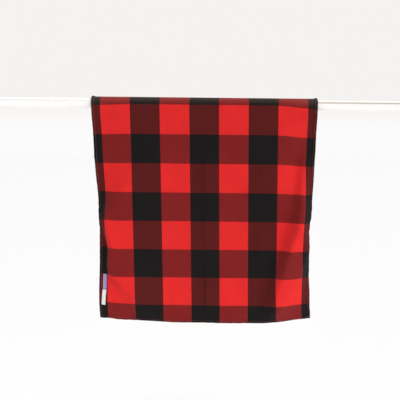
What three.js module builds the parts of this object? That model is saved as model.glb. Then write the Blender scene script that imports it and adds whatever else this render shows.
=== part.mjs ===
// Wool blanket in a buffalo check, hung over a round wooden rod.
// Millimetres. +X runs along the rod, +Y from the front to the back and +Z up.
// The origin is the centre of the rod's left end face.
import * as THREE from 'three';

// Rod
const ROD_DIAMETER = 35;
const ROD_LENGTH = 1500;
const ROD_SIDES = 48;

// Blanket, as cut and hemmed. The hem is turned to the outer face on all four edges.
const BLANKET_WIDTH = 762;
const BLANKET_LENGTH = 1016;
const CLOTH_THICKNESS = 2.2;
const HEM_THICKNESS = 4.6;
const HEM_EDGE_THICKNESS = 3.2;
const HEM_WIDTH = 9.5;
const HEM_ROUNDING = 1.5;
const HEM_STEP = 1.5;

// How it hangs: the front leaf is the long one
const FRONT_LEAF = 791;
const BACK_LEAF = BLANKET_LENGTH - FRONT_LEAF;
const BLANKET_CENTRE_X = ROD_LENGTH / 2;
const GAP = 0.3;

// Folds of the front leaf, a row for each 100 mm below the rod, and a short name for each column.
// leftBack, rightBack: how far that side edge steps back. The step starts leftFrom or rightFrom
// in from the edge and ends leftTo or rightTo in from it, or past it where that is negative.
// ridgeAt, ridgeOut, ridgeRun: the crest of the diagonal fold on the right, across from the
// middle, how far it stands forward, and how wide the slope on its left is. shoulderAt,
// shoulderOut: the crest of the fold low on the left. swellOut: how far the swell right of the
// middle stands forward.
const SECTION_SPACING = 100;
const COLUMNS = ['leftBack', 'leftFrom', 'leftTo', 'rightBack', 'rightFrom', 'rightTo',
  'ridgeAt', 'ridgeOut', 'ridgeRun', 'shoulderAt', 'shoulderOut', 'swellOut'];
const SECTIONS = [
  [0, 110, -60, 0, 110, -50, 350, 0, 30, -340, 0, 0],
  [14, 172, -8, 13, 108, -20, 353, 0, 30, -344, 0, 0],
  [20, 186, 5, 26, 152, 10, 344, 12, 24, -344, 0, -1],
  [32, 116, -3, 30, 126, -36, 336, 25, 28, -340, 0, -2],
  [30, 45, -18, 35, 65, -69, 326, 25, 30, -332, 0, -2],
  [19, 52, 19, 40, 21, -39, 298, 26, 26, -314, 0, -1],
  [14, 56, 25, 35, 58, -41, 268, 22, 36, -296, 4, 1],
  [10, 178, 100, 26, 126, -24, 242, 18, 49, -247, 7, 4],
  [21, 375, 163, 37, 278, -32, 254, 6, 60, -200, 5, 3],
];
const RIDGE_RIGHT_FLANK = 64;
const RIDGE_ROUNDING = 0.25;
const SHOULDER_FLANKS = { left: 32, right: 71 };
const SWELL = { at: 72, halfWidth: 92 };
const FOLDS_START = 80;
const NARROWEST_STEP = 15;

// The threads lean a little to the right on their way down, and the leaf draws in towards its hem
const LEAN = 0.0185;
const DRAW_IN = 0.014;

// The side hems are sewn a little tight, and the sides are pulled forward over the rod
const TIGHT_HEM = { left: 0.007, right: 0.013, reach: 45 };
const PULL = { left: 4.5, right: 10.3, reach: 150, leftAtHem: 0.5 };

// The back leaf hangs nearly flat
const BACK_WAVE = { depth: 5, length: 420, phase: 0.6 };

// Labels sewn inside the left hem. The blue one lies flat. The white one is sewn at its top end
// only: it tilts, and stands off far enough to lie over the hem.
const LABEL_THICKNESS = 1;
const LABEL_GAP = 0.6;
const LABEL_LIFT_LENGTH = 20;
const BLUE_LABEL = { inFromEdge: 13.5, width: 14, drop: 599, length: 54, tilt: 0, standOff: 0 };
const WHITE_LABEL = { inFromEdge: 12.5, width: 13.5, drop: 654.5, length: 54, tilt: 4, standOff: 2.8 };

// Steps of the meshes
const WRAP_STEPS = 12;
const FRONT_STEPS = 22;
const BACK_STEPS = 5;
const SIDE_STEPS = 9;
const SIDE_REACH = 130;
const MIDDLE_STEPS = 12;
const LABEL_STEPS = { across: 3, down: 11 };
const RUN_STEP = 6;
const SLOPE_STEP = 1;
const STEEPEST = 0.95;

const HALF_WIDTH = BLANKET_WIDTH / 2;
// The cloth lies on the rod in flat facets, so its inside radius clears the middle of each facet
const INNER_RADIUS = (ROD_DIAMETER / 2 + GAP) / Math.cos(Math.PI / WRAP_STEPS / 2);
const MIDDLE_RADIUS = INNER_RADIUS + CLOTH_THICKNESS / 2;
const QUARTER_TURN = MIDDLE_RADIUS * Math.PI / 2;
const FRONT_DROP = FRONT_LEAF - QUARTER_TURN;
const BACK_DROP = BACK_LEAF - QUARTER_TURN;

const { abs, ceil, cos, exp, floor, max, min, sin, sqrt } = Math;
const clamp = THREE.MathUtils.clamp;
const radians = THREE.MathUtils.degToRad;

// A soft step from 0 to 1
function soft(t) {
  return THREE.MathUtils.smoothstep(t, 0, 1);
}

// The sections' value for one column at any drop, on a smooth curve through the rows
function sectionAt(name, drop) {
  const column = COLUMNS.indexOf(name);
  const last = SECTIONS.length - 1;
  const place = clamp(drop / SECTION_SPACING, 0, last - 1e-6);
  const row = floor(place);
  const t = place - row;
  const value = (index) => SECTIONS[clamp(index, 0, last)][column];
  const [before, start, end, after] = [value(row - 1), value(row), value(row + 1), value(row + 2)];
  const straight = 2 * start + (end - before) * t;
  const bend = (2 * before - 5 * start + 4 * end - after) * t * t;
  const turn = (3 * start - before - 3 * end + after) * t * t * t;
  return (straight + bend + turn) / 2;
}

// A rounded ridge of height 1, with its own width on each side
function ridge(offset, flanks) {
  const width = offset < 0 ? flanks.left : flanks.right;
  return (1 + (offset / width) ** 2) ** -1.5;
}

// A fold of height 1: a straight slope on its left with rounded ends, and a soft fall on its right
function slopeAndCrest(offset, run) {
  const hinge = (t) => (t + sqrt(t * t + RIDGE_ROUNDING ** 2)) / 2;
  const rise = hinge(offset / run + 1) - hinge(offset / run);
  return rise * ridge(max(offset, 0), { right: RIDGE_RIGHT_FLANK });
}

// How far the front leaf stands behind the plane where it leaves the rod
function behind(across, drop) {
  const step = (side, fromEdge) => {
    const from = sectionAt(`${side}From`, drop);
    const width = max(from - sectionAt(`${side}To`, drop), NARROWEST_STEP);
    return sectionAt(`${side}Back`, drop) * soft((from - fromEdge) / width);
  };
  const fromRidge = across - sectionAt('ridgeAt', drop);
  const fromShoulder = across - sectionAt('shoulderAt', drop);
  const fromSwell = clamp((across - SWELL.at) / SWELL.halfWidth, -1, 1);
  const swell = sectionAt('swellOut', drop) * (1 + cos(Math.PI * fromSwell)) / 2;
  const back = step('left', HALF_WIDTH + across) + step('right', HALF_WIDTH - across);
  const diagonal = sectionAt('ridgeOut', drop) * slopeAndCrest(fromRidge, sectionAt('ridgeRun', drop));
  const shoulder = sectionAt('shoulderOut', drop) * ridge(fromShoulder, SHOULDER_FLANKS);
  return (back - diagonal - shoulder - swell) * soft(drop / FOLDS_START);
}

// Cloth doesn't stretch: a fold uses up length, so a run across or down covers a little less.
// Adds up what a run of the given length covers where slopeAt gives its slope.
function covered(length, slopeAt) {
  const steps = max(1, ceil(abs(length) / RUN_STEP));
  let sum = 0;
  for (let k = 0; k < steps; k += 1) {
    const slope = min(abs(slopeAt(length * (k + 0.5) / steps)), STEEPEST);
    sum += sqrt(1 - slope * slope) * length / steps;
  }
  return sum;
}

function frontPoint(across, drop) {
  const slopeAcross = (u) => {
    return (behind(u + SLOPE_STEP, drop) - behind(u - SLOPE_STEP, drop)) / (2 * SLOPE_STEP);
  };
  const slopeDown = (d) => {
    return (behind(across, d + SLOPE_STEP) - behind(across, d - SLOPE_STEP)) / (2 * SLOPE_STEP);
  };
  const near = (distance) => exp(-((distance / TIGHT_HEM.reach) ** 2));
  const tight = TIGHT_HEM.left * near(HALF_WIDTH + across) + TIGHT_HEM.right * near(HALF_WIDTH - across);
  const x = covered(across, slopeAcross) * (1 - DRAW_IN * drop / FRONT_DROP) + LEAN * drop;
  const z = -covered(drop, slopeDown) * (1 - tight);
  return new THREE.Vector3(BLANKET_CENTRE_X + x, behind(across, drop) - MIDDLE_RADIUS, z);
}

function backPoint(across, drop) {
  const wave = 1 + sin(2 * Math.PI * across / BACK_WAVE.length + BACK_WAVE.phase);
  const y = MIDDLE_RADIUS + BACK_WAVE.depth / 2 * wave * soft(drop / BACK_DROP);
  return new THREE.Vector3(BLANKET_CENTRE_X + across, y, -drop);
}

function rodPoint(across, run) {
  const turn = run / MIDDLE_RADIUS;
  const [y, z] = [-MIDDLE_RADIUS * sin(turn), MIDDLE_RADIUS * cos(turn)];
  return new THREE.Vector3(BLANKET_CENTRE_X + across, y, z);
}

// How far the sides are pulled forward over the rod
function pullAt(across) {
  const left = PULL.left * soft(1 - (HALF_WIDTH + across) / PULL.reach);
  const right = PULL.right * soft(1 - (HALF_WIDTH - across) / PULL.reach);
  return left + right;
}

// The middle of the cloth. The run is 0 on top of the rod, positive down the front leaf
// and negative down the back leaf, as measured on the blanket's middle thread.
function clothPoint(across, run) {
  if (run > QUARTER_TURN) {
    const stretch = 1 + pullAt(across) * PULL.leftAtHem / FRONT_DROP;
    return frontPoint(across, (run - QUARTER_TURN) * stretch);
  }
  if (run < -QUARTER_TURN) {
    const stretch = 1 - pullAt(across) / BACK_DROP;
    return backPoint(across, (-run - QUARTER_TURN) * stretch);
  }
  return rodPoint(across, run);
}

// Evenly spaced places from start to end, without the end
function places(start, end, steps) {
  return Array.from({ length: steps }, (_, k) => start + (end - start) * k / steps);
}

// Where the hem's lines lie, in from an edge
const HEM_LINES = [0, HEM_ROUNDING, HEM_WIDTH, HEM_WIDTH + HEM_STEP];
const HEM_INSIDE = HEM_WIDTH + HEM_STEP;

function columnPlaces() {
  const side = HALF_WIDTH - SIDE_REACH;
  return [
    ...HEM_LINES.slice(0, 3).map((line) => line - HALF_WIDTH),
    ...places(HEM_INSIDE - HALF_WIDTH, -side, SIDE_STEPS),
    ...places(-side, side, MIDDLE_STEPS),
    ...places(side, HALF_WIDTH - HEM_INSIDE, SIDE_STEPS),
    ...HEM_LINES.map((line) => HALF_WIDTH - line).reverse(),
  ];
}

function rowPlaces() {
  return [
    ...HEM_LINES.slice(0, 3).map((line) => line - BACK_LEAF),
    ...places(HEM_INSIDE - BACK_LEAF, -QUARTER_TURN, BACK_STEPS),
    ...places(-QUARTER_TURN, QUARTER_TURN, WRAP_STEPS),
    ...places(QUARTER_TURN, FRONT_LEAF - HEM_INSIDE, FRONT_STEPS),
    ...HEM_LINES.map((line) => FRONT_LEAF - line).reverse(),
  ];
}

function thicknessAt(fromEdge) {
  if (fromEdge < HEM_ROUNDING) {
    const t = fromEdge / HEM_ROUNDING;
    return HEM_EDGE_THICKNESS + (HEM_THICKNESS - HEM_EDGE_THICKNESS) * t;
  }
  if (fromEdge <= HEM_WIDTH) return HEM_THICKNESS;
  return CLOTH_THICKNESS;
}

// Outward normal of a grid of points, from each point's neighbours
function normalAt(grid, i, j) {
  const lastColumn = grid.length - 1;
  const lastRow = grid[0].length - 1;
  const acrossGrid = grid[min(i + 1, lastColumn)][j].clone().sub(grid[max(i - 1, 0)][j]);
  const downGrid = grid[i][min(j + 1, lastRow)].clone().sub(grid[i][max(j - 1, 0)]);
  return downGrid.cross(acrossGrid).normalize();
}

// A closed sheet between two grids of points with the same columns and rows
function closedSheet(outer, inner) {
  const columns = outer.length;
  const rows = outer[0].length;
  const points = [...outer.flat(), ...inner.flat()];
  const innerStart = columns * rows;
  const at = (i, j) => i * rows + j;
  const triangles = [];
  for (let i = 0; i < columns - 1; i += 1) {
    for (let j = 0; j < rows - 1; j += 1) {
      const [a, b, c, d] = [at(i, j), at(i + 1, j), at(i + 1, j + 1), at(i, j + 1)];
      triangles.push([a, d, b], [b, d, c]);
      triangles.push([a, b, d].map((k) => k + innerStart), [b, c, d].map((k) => k + innerStart));
    }
  }
  // The rim joins the two grids around all four edges
  const rim = [];
  for (let i = 0; i < columns - 1; i += 1) rim.push(at(i, 0));
  for (let j = 0; j < rows - 1; j += 1) rim.push(at(columns - 1, j));
  for (let i = columns - 1; i > 0; i -= 1) rim.push(at(i, rows - 1));
  for (let j = rows - 1; j > 0; j -= 1) rim.push(at(0, j));
  rim.forEach((start, k) => {
    const end = rim[(k + 1) % rim.length];
    triangles.push([start, end, start + innerStart], [end, end + innerStart, start + innerStart]);
  });
  const geometry = new THREE.BufferGeometry().setFromPoints(points);
  geometry.setIndex(triangles.flat());
  geometry.computeVertexNormals();
  return geometry;
}

const blanketColumns = columnPlaces();
const blanketRows = rowPlaces();
const middleGrid = blanketColumns.map((across) => blanketRows.map((run) => clothPoint(across, run)));

function offsetGrid(offsetAt) {
  return middleGrid.map((column, i) => column.map((point, j) => {
    return point.clone().addScaledVector(normalAt(middleGrid, i, j), offsetAt(i, j));
  }));
}

const outerGrid = offsetGrid((i, j) => {
  const fromSide = HALF_WIDTH - abs(blanketColumns[i]);
  const fromEnd = min(FRONT_LEAF - blanketRows[j], BACK_LEAF + blanketRows[j]);
  return thicknessAt(min(fromSide, fromEnd)) - CLOTH_THICKNESS / 2;
});
const innerGrid = offsetGrid(() => -CLOTH_THICKNESS / 2);
const plainGrid = offsetGrid(() => CLOTH_THICKNESS / 2);

// A point the given height over the outer face without its hems, on the face's own triangles
function overCloth(across, run, height) {
  const cell = (list, value) => clamp(list.findIndex((line) => line > value) - 1, 0, list.length - 2);
  const i = cell(blanketColumns, across);
  const j = cell(blanketRows, run);
  const a = (across - blanketColumns[i]) / (blanketColumns[i + 1] - blanketColumns[i]);
  const b = (run - blanketRows[j]) / (blanketRows[j + 1] - blanketRows[j]);
  const near = a + b < 1;
  const corner = near ? plainGrid[i][j] : plainGrid[i + 1][j + 1];
  const acrossEdge = (near ? plainGrid[i + 1][j] : plainGrid[i][j + 1]).clone().sub(corner);
  const downEdge = (near ? plainGrid[i][j + 1] : plainGrid[i + 1][j]).clone().sub(corner);
  const normal = downEdge.clone().cross(acrossEdge).normalize();
  return corner.clone()
    .addScaledVector(acrossEdge, near ? a : 1 - a)
    .addScaledVector(downEdge, near ? b : 1 - b)
    .addScaledVector(normal, height);
}

function labelGeometry(label) {
  const tilt = radians(label.tilt);
  const gridAt = (height) => {
    return places(0, label.width, LABEL_STEPS.across).concat(label.width).map((right) => {
      return places(0, label.length, LABEL_STEPS.down).concat(label.length).map((down) => {
        const across = label.inFromEdge - HALF_WIDTH + right * cos(tilt) - down * sin(tilt);
        const run = QUARTER_TURN + label.drop + right * sin(tilt) + down * cos(tilt);
        const lift = label.standOff * soft(down / LABEL_LIFT_LENGTH);
        return overCloth(across, run, height + lift);
      });
    });
  };
  return closedSheet(gridAt(LABEL_GAP + LABEL_THICKNESS), gridAt(LABEL_GAP));
}

function part(name, geometry, color, roughness) {
  const material = new THREE.MeshStandardMaterial({ color, roughness, metalness: 0 });
  const mesh = new THREE.Mesh(geometry, material);
  mesh.name = name;
  return mesh;
}

function makeRod() {
  const geometry = new THREE.CylinderGeometry(ROD_DIAMETER / 2, ROD_DIAMETER / 2, ROD_LENGTH, ROD_SIDES);
  const rod = part('rod', geometry, 0xf4f2ee, 0.45);
  rod.rotation.z = -Math.PI / 2;
  rod.position.x = ROD_LENGTH / 2;
  return rod;
}

const group = new THREE.Group();
group.add(
  part('blanket', closedSheet(outerGrid, innerGrid), 0x9c2526, 0.95),
  part('label_blue', labelGeometry(BLUE_LABEL), 0xb9b4dd, 0.6),
  part('label_white', labelGeometry(WHITE_LABEL), 0xf6f5f7, 0.6),
  makeRod(),
);

export default group;
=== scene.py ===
"""A wool blanket in a buffalo check, hung over a white rod.

Every length below is in millimetres in the model's own frame: +X along the rod, +Y from the
front leaf to the back leaf, +Z up, with the origin at the centre of the rod's left end.
Meshes are made in millimetres and written in metres.
"""

import math

import bpy
import numpy as np
from mathutils import Matrix, Vector


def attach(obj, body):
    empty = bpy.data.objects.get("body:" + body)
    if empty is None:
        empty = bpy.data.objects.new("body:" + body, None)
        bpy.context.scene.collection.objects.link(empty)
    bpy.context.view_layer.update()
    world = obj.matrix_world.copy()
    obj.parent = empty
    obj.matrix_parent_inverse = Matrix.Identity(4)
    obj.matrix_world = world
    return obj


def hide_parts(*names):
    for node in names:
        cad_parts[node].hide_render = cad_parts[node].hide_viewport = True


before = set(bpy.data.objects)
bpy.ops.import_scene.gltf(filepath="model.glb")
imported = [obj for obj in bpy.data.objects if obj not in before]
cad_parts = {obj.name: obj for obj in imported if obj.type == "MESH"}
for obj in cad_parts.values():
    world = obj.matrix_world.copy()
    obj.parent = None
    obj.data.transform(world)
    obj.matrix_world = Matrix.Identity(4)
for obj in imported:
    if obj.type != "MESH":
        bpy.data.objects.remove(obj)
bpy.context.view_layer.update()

MM = 0.001

# Rod
ROD_DIAMETER = 35.0
ROD_LENGTH = 1500.0
ROD_SIDES = 128
ROD_END_BEVEL = 1.2
ROD_SHARP_ANGLE = 40.0

# Blanket, as cut and hemmed, and how much of it hangs in front
BLANKET_WIDTH = 762.0
BLANKET_LENGTH = 1016.0
FRONT_LEAF = 791.0
BACK_LEAF = BLANKET_LENGTH - FRONT_LEAF
CLOTH_THICKNESS = 2.2
GAP = 0.3
FACET_ROOM = 0.15      # how much further out the facets of the solid's bend lie
HALF_WIDTH = BLANKET_WIDTH / 2
BLANKET_CENTRE_X = ROD_LENGTH / 2
INNER_RADIUS = ROD_DIAMETER / 2 + GAP + FACET_ROOM
MIDDLE_RADIUS = INNER_RADIUS + CLOTH_THICKNESS / 2
QUARTER_TURN = MIDDLE_RADIUS * math.pi / 2
FRONT_DROP = FRONT_LEAF - QUARTER_TURN
BACK_DROP = BACK_LEAF - QUARTER_TURN

# Hem: cloth thickness by distance in from the edge. The dip is where the stitches pull it down.
HEM_THICKNESS = [(0.0, 2.4), (0.7, 3.9), (1.9, 4.6), (5.0, 4.7), (7.1, 4.4), (8.1, 3.5),
                 (9.0, 4.1), (9.9, 3.6), (11.0, 2.4), (13.0, 2.2)]

# The hem's stitches: in from the edge, from one to the next, each one's length, width and height,
# how far they stand over the cloth, and the grid lines that a row leaves free at each end
STITCH_LINE = 8.1
STITCH_SPACING = 4.4
STITCH_SIZE = (3.5, 1.0, 0.9)
STITCH_LIFT = 0.15
STITCH_ROW = slice(2, -2)

# Labels: in from the left edge, below the rod, and the white one's tilt and stand-off
RIBBON_GAP = 0.6
RIBBON_THICKNESS = 0.8
BLUE_RIBBON = dict(inset=13.5, width=14.0, drop=599.0, length=54.0, tilt=0.0, stand_off=0.0)
WHITE_RIBBON = dict(inset=12.5, width=13.5, drop=654.5, length=54.0, tilt=4.0, stand_off=2.8)

# A label's selvage, in from its side and how high and wide, the end that is turned under, and how
# its edges are rounded. The stand-off grows over this length from the sewn end.
SELVAGE_AT, SELVAGE_HEIGHT, SELVAGE_WIDTH = 0.8, 0.25, 0.6
TURNED_LENGTH, TURNED_STEP, TURNED_HEIGHT = 3.0, 1.2, 0.5
RIBBON_ROUNDING, ROUNDING_REACH = 0.45, 0.9
STAND_OFF_REACH = 20.0
RIBBON_LINES = (15, 41)

# A label's colour, the one that it turns to from side to side, and by what share
BLUE_RIBBON_COLOURS = ("#9A8AA6", "#685E9C", 0.7)
WHITE_RIBBON_COLOURS = ("#D6D2D2", "#BBB9BC", 0.1)

# Check
CHECK_ACROSS = 100.0
CHECK_ALONG = 99.0
FIRST_CHECK_ACROSS = 30.0
FIRST_CHECK_ALONG = 34.9

# Folds of the front leaf, a row for each 100 mm below the rod, and a short name for each column.
# leftBack, rightBack: how far that side edge steps back. The step starts leftFrom or rightFrom
# in from the edge and ends leftTo or rightTo in from it, or past it where that is negative.
# ridgeAt, ridgeOut, ridgeRun: the crest of the diagonal fold on the right, across from the middle,
# how far it stands forward, and how wide the slope on its left is. shoulderAt, shoulderOut: the
# crest of the fold low on the left. swellOut: how far the swell right of the middle stands forward.
SECTION_SPACING = 100.0
COLUMNS = ["leftBack", "leftFrom", "leftTo", "rightBack", "rightFrom", "rightTo",
           "ridgeAt", "ridgeOut", "ridgeRun", "shoulderAt", "shoulderOut", "swellOut"]
SECTIONS = np.array([
    [0, 110, -60, 0, 110, -50, 350, 0, 30, -340, 0, 0],
    [14, 172, -8, 13, 108, -20, 353, 0, 30, -344, 0, 0],
    [20, 186, 5, 26, 152, 10, 344, 12, 24, -344, 0, -1],
    [32, 116, -3, 30, 126, -36, 336, 25, 28, -340, 0, -2],
    [30, 45, -18, 35, 65, -69, 332, 27, 34, -332, 0, -2],
    [19, 52, 19, 40, 21, -39, 301, 26, 27, -314, 0, -1],
    [14, 56, 25, 35, 58, -41, 268, 22, 36, -296, 3, 1],
    [10, 178, 92, 26, 126, -24, 242, 18, 49, -247, 4, 4],
    [21, 375, 163, 37, 278, -32, 254, 6, 60, -200, 5, 3],
], float)

# The widths of the folds' sides, how rounded the ends of the diagonal fold's slope are, and the
# drop over which all folds grow below the rod
RIDGE_RIGHT_FLANK = 64.0
RIDGE_ROUNDING = 0.25
SHOULDER_FLANKS = (44.0, 71.0)
SWELL_AT, SWELL_HALF_WIDTH = 72.0, 92.0
FOLDS_START = 80.0

# How the front leaf hangs: its lean to the right for each unit of drop, the share of its width
# drawn in at the low hem, and the share of its length that the side hems' thread takes up
LEAN = 0.0185
DRAW_IN = 0.014
TIGHT_LEFT, TIGHT_RIGHT, TIGHT_REACH = 0.007, 0.013, 45.0

# How far the sides are pulled forward over the rod, how far in that reaches, and what share of it
# the low hem keeps. Then the slow wave of the back leaf.
PULL_LEFT, PULL_RIGHT, PULL_REACH, PULL_LEFT_AT_HEM = 4.5, 10.3, 150.0, 0.5
BACK_WAVE_DEPTH, BACK_WAVE_LENGTH, BACK_WAVE_PHASE = 5.0, 420.0, 0.6

# Creases from storage, each a slope up to a crest: the crest's place across at its top and at its
# low end, the first and last drop, the height, and how wide the slope is
CREASES = [
    (-6.0, -2.0, 150.0, 770.0, 2.6, 34.0),
    (-6.0, -6.0, 170.0, 470.0, 0.9, 7.0),
    (1.0, 1.0, 560.0, 720.0, 1.8, 5.0),
    (192.0, 184.0, 180.0, 560.0, 1.2, 16.0),
    (-168.0, -164.0, 220.0, 640.0, 0.8, 16.0),
]
CREASE_FADE = 40.0

# The painted shade along them: place across, first and last drop, and how dark beside it and on the
# fold.
# SHADE_LEFT and SHADE_RIGHT say how far the shade beside a crease reaches. The shade on its fold
# is full to FOLD_CORE and gone at FOLD_EDGE. The ends of a crease fade over CREASE_FADE.
PAINTED_CREASE_SHADES = [
    (-3.0, 150.0, 520.0, 0.09, 0.06),
    (-2.0, 500.0, 780.0, 0.08, 0.19),
    (190.0, 160.0, 560.0, 0.06, 0.03),
]
SHADE_LEFT, SHADE_RIGHT = 40.0, 4.0
FOLD_CORE, FOLD_EDGE = 1.0, 4.5

# Unevenness of the cloth, and the puckers along its hems
SEED = 7
UNEVEN_WAVES = 9
UNEVEN_LENGTHS = (70.0, 210.0)
UNEVEN_HEIGHT = 0.45
PUCKER_WAVES = 5
PUCKER_LENGTHS = (16.0, 42.0)
PUCKER_HEIGHT = 0.45
PUCKER_REACH = 16.0

# Steps of the cloth's mesh, the extra lines of its grid at the creases, and how near another line
# may come to one of those
CLOTH_STEP = 5.0
WRAP_STEP = 2.6
CREASE_LINES = np.concatenate([np.arange(-14.0, 8.0, 1.6), np.arange(168.0, 196.0, 3.0)])
CREASE_LINE_ROOM = 1.5

# The span over which a slope is measured, and the narrowest and steepest side that a fold may have
SLOPE_STEP = 1.0
NARROWEST_STEP = 15.0
STEEPEST = 0.95


def soft(t):
    """A soft step from 0 to 1."""
    t = np.clip(t, 0.0, 1.0)
    return t * t * (3.0 - 2.0 * t)


def section(name, drop):
    """The sections' value for one column at any drop, on a smooth curve through the rows."""
    values = SECTIONS[:, COLUMNS.index(name)]
    last = len(values) - 1
    place = np.clip(drop / SECTION_SPACING, 0.0, last - 1e-6)
    row = place.astype(int)
    t = place - row
    before, start = values[np.maximum(row - 1, 0)], values[row]
    end, after = values[row + 1], values[np.minimum(row + 2, last)]
    straight = 2 * start + (end - before) * t
    bend = (2 * before - 5 * start + 4 * end - after) * t ** 2
    turn = (3 * start - before - 3 * end + after) * t ** 3
    return (straight + bend + turn) / 2


def ridge(offset, flanks):
    """A rounded ridge of height 1, with its own width on each side."""
    width = np.where(offset < 0, flanks[0], flanks[1])
    return (1.0 + (offset / width) ** 2) ** -1.5


def slope_and_crest(offset, run):
    """A fold of height 1: a straight slope on its left with rounded ends, and a soft fall on its
    right from the crest at 0."""
    def hinge(t):
        return (t + np.sqrt(t ** 2 + RIDGE_ROUNDING ** 2)) / 2

    rise = hinge(offset / run + 1.0) - hinge(offset / run)
    return rise * ridge(np.maximum(offset, 0.0), (RIDGE_RIGHT_FLANK, RIDGE_RIGHT_FLANK))


def main_folds(across, drop):
    """How far the front leaf stands behind the plane where it leaves the rod."""
    left_from, left_to = section("leftFrom", drop), section("leftTo", drop)
    right_from, right_to = section("rightFrom", drop), section("rightTo", drop)
    left_width = np.maximum(left_from - left_to, NARROWEST_STEP)
    right_width = np.maximum(right_from - right_to, NARROWEST_STEP)
    left = soft((left_from - HALF_WIDTH - across) / left_width)
    right = soft((right_from - HALF_WIDTH + across) / right_width)
    back = section("leftBack", drop) * left + section("rightBack", drop) * right
    from_crest = across - section("ridgeAt", drop)
    out = section("ridgeOut", drop) * slope_and_crest(from_crest, section("ridgeRun", drop))
    from_shoulder = across - section("shoulderAt", drop)
    out += section("shoulderOut", drop) * ridge(from_shoulder, SHOULDER_FLANKS)
    from_swell = np.clip((across - SWELL_AT) / SWELL_HALF_WIDTH, -1.0, 1.0)
    out += section("swellOut", drop) * (1.0 + np.cos(math.pi * from_swell)) / 2
    return (back - out) * soft(drop / FOLDS_START)


def creases(across, drop):
    """The height of the storage creases."""
    height = np.zeros_like(across)
    for top_at, low_at, first, last, rise, run in CREASES:
        along = np.clip((drop - first) / (last - first), 0.0, 1.0)
        fade = soft((drop - first) / CREASE_FADE) * soft((last - drop) / CREASE_FADE)
        offset = across - (top_at + (low_at - top_at) * along)
        height += rise * fade * slope_and_crest(offset, run)
    return height


def waves_along(place, seed, shortest, longest, count):
    """An uneven wave along a line, about 1 high."""
    random = np.random.default_rng(seed)
    total = np.zeros_like(place)
    for _ in range(count):
        length = random.uniform(shortest, longest)
        total += np.sin(2 * math.pi * (place / length + random.uniform()))
    return total / math.sqrt(count)


def unevenness(across, drop):
    """The slow unevenness of a folded and handled cloth: shallow waves in several directions."""
    random = np.random.default_rng(SEED)
    height = np.zeros_like(across)
    for _ in range(UNEVEN_WAVES):
        length = random.uniform(*UNEVEN_LENGTHS)
        direction = random.uniform(0.0, math.pi)
        place = across * math.cos(direction) + drop * math.sin(direction)
        height += np.sin(2 * math.pi * (place / length + random.uniform()))
    return UNEVEN_HEIGHT * height / math.sqrt(UNEVEN_WAVES) * soft(drop / FOLDS_START)


def puckers(across, drop):
    """Small gathers across the hems, where the stitches draw the cloth together."""
    left = PUCKER_HEIGHT * waves_along(drop, SEED + 1, *PUCKER_LENGTHS, PUCKER_WAVES)
    right = PUCKER_HEIGHT * waves_along(drop, SEED + 2, *PUCKER_LENGTHS, PUCKER_WAVES)
    low = PUCKER_HEIGHT * waves_along(across, SEED + 3, *PUCKER_LENGTHS, PUCKER_WAVES)
    height = left * np.exp(-((HALF_WIDTH + across) / PUCKER_REACH) ** 2)
    height += right * np.exp(-((HALF_WIDTH - across) / PUCKER_REACH) ** 2)
    height += low * np.exp(-((FRONT_DROP - drop) / PUCKER_REACH) ** 2)
    return height * soft(drop / FOLDS_START)


def behind(across, drop):
    """How far the front leaf stands behind the plane where it leaves the rod, with all that bends
    it: folds, creases, unevenness and gathers."""
    out = creases(across, drop) + unevenness(across, drop) + puckers(across, drop)
    return main_folds(across, drop) - out


def covered(lines, slope, axis, zero):
    """What runs along one axis of a grid cover, from the line at zero: a fold uses up length."""
    share = np.sqrt(1.0 - np.clip(slope, -STEEPEST, STEEPEST) ** 2)
    share = np.moveaxis(share, axis, 0)
    lines = np.moveaxis(lines, axis, 0)
    steps = (share[1:] + share[:-1]) / 2 * np.diff(lines, axis=0)
    total = np.concatenate([np.zeros_like(steps[:1]), np.cumsum(steps, axis=0)])
    total -= total[zero:zero + 1]
    return np.moveaxis(total, 0, axis)


def pull(across):
    """How far the sides are pulled forward over the rod."""
    left = PULL_LEFT * soft(1.0 - (HALF_WIDTH + across) / PULL_REACH)
    right = PULL_RIGHT * soft(1.0 - (HALF_WIDTH - across) / PULL_REACH)
    return left + right


def cloth_lines():
    """The places across and the runs along of the cloth's grid, closer together at the hems."""
    hem = np.array([place for place, _ in HEM_THICKNESS])
    inside = hem[-1]
    half = int(round((HALF_WIDTH - inside) / CLOTH_STEP))
    middle = np.linspace(-HALF_WIDTH + inside, HALF_WIDTH - inside, 2 * half + 1)
    clear = abs(middle[:, None] - CREASE_LINES).min(axis=1) > CREASE_LINE_ROOM
    middle = np.sort(np.concatenate([middle[clear], CREASE_LINES]))
    across = np.concatenate([hem[:-1] - HALF_WIDTH, middle, HALF_WIDTH - hem[:-1][::-1]])

    def evenly(start, end, step):
        return np.linspace(start, end, int(round((end - start) / step)), endpoint=False)

    runs = np.concatenate([
        hem[:-1] - BACK_LEAF,
        evenly(inside - BACK_LEAF, -QUARTER_TURN, CLOTH_STEP),
        evenly(-QUARTER_TURN, QUARTER_TURN, WRAP_STEP),
        evenly(QUARTER_TURN, FRONT_LEAF - inside, CLOTH_STEP),
        FRONT_LEAF - hem[::-1],
    ])
    return across, runs


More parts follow.
